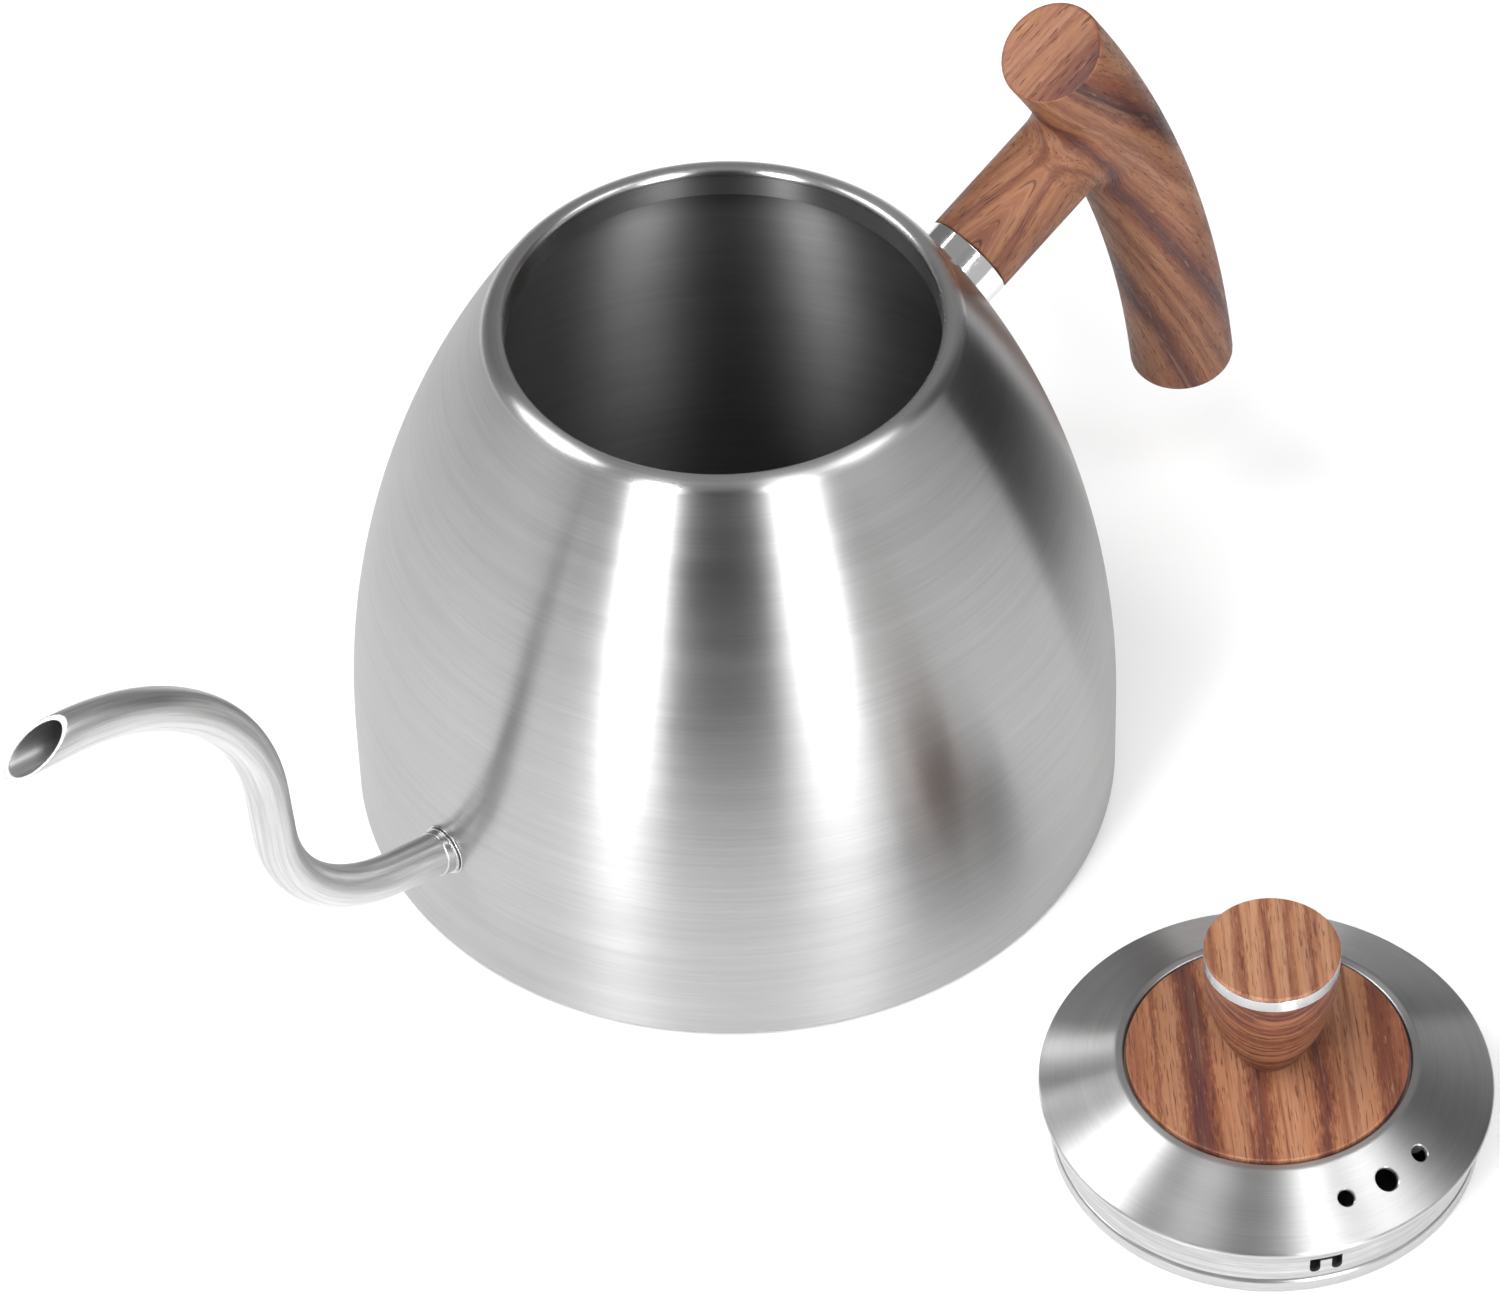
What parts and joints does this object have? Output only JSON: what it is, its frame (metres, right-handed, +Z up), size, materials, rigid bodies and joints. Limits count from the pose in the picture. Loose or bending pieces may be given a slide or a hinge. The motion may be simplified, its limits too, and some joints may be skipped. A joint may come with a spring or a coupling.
{
  "type": "gooseneck kettle",
  "caption": "Domed steel pour-over kettle with a thin S-curved spout, a T-shaped wood-look handle on a neck, and a loose knobbed lid standing beside it.",
  "frame": {"origin": "centre of the kettle's base, on the surface that it stands on", "axes": "+Z up along the body's axis, +X towards the handle, the spout points along -X, the lid stands on the -Y side"},
  "size_m": [0.3029, 0.2573, 0.1383],
  "materials": {
    "brushed_body": "satin steel brushed round the body",
    "brushed_spout": "satin steel brushed along the tube",
    "brushed_lid": "satin steel brushed round the lid",
    "spreader": "plain",
    "bright_trim": "polished",
    "fasteners": "plain",
    "threaded_insert": "plain",
    "wood_look": "satin wood grain with darker streaks",
    "seal": "matte"
  },
  "bodies": {
    "kettle": {"body_shell": "brushed_body", "mouth_ring": "brushed_body", "base_pan": "brushed_body", "heat_spreader": "spreader", "base_cap": "brushed_body", "spout_tube": "brushed_spout", "spout_collar": "brushed_spout", "handle_bracket": "fasteners", "handle_stud": "fasteners", "handle_washer": "fasteners", "handle_ferrule": "bright_trim", "handle_spacer": "seal", "handle_insert": "threaded_insert", "handle_grip": "wood_look"},
    "lid": {"lid_cover": "brushed_lid", "lid_skirt": "brushed_lid", "lid_bead": "brushed_lid", "lid_inner_plate": "brushed_lid", "inlay_disc": "wood_look", "inlay_gasket": "seal", "knob_body": "wood_look", "knob_band": "bright_trim", "knob_cap": "wood_look", "knob_screw": "fasteners", "knob_washer": "fasteners", "knob_insert": "threaded_insert"}
  },
  "joints": [
    {"name": "lid_carry", "type": "slide", "parent": "kettle", "child": "lid", "axis": [-0.019, 0.3807, 0.9245], "range_m": [0, 0.36776]}
  ]
}
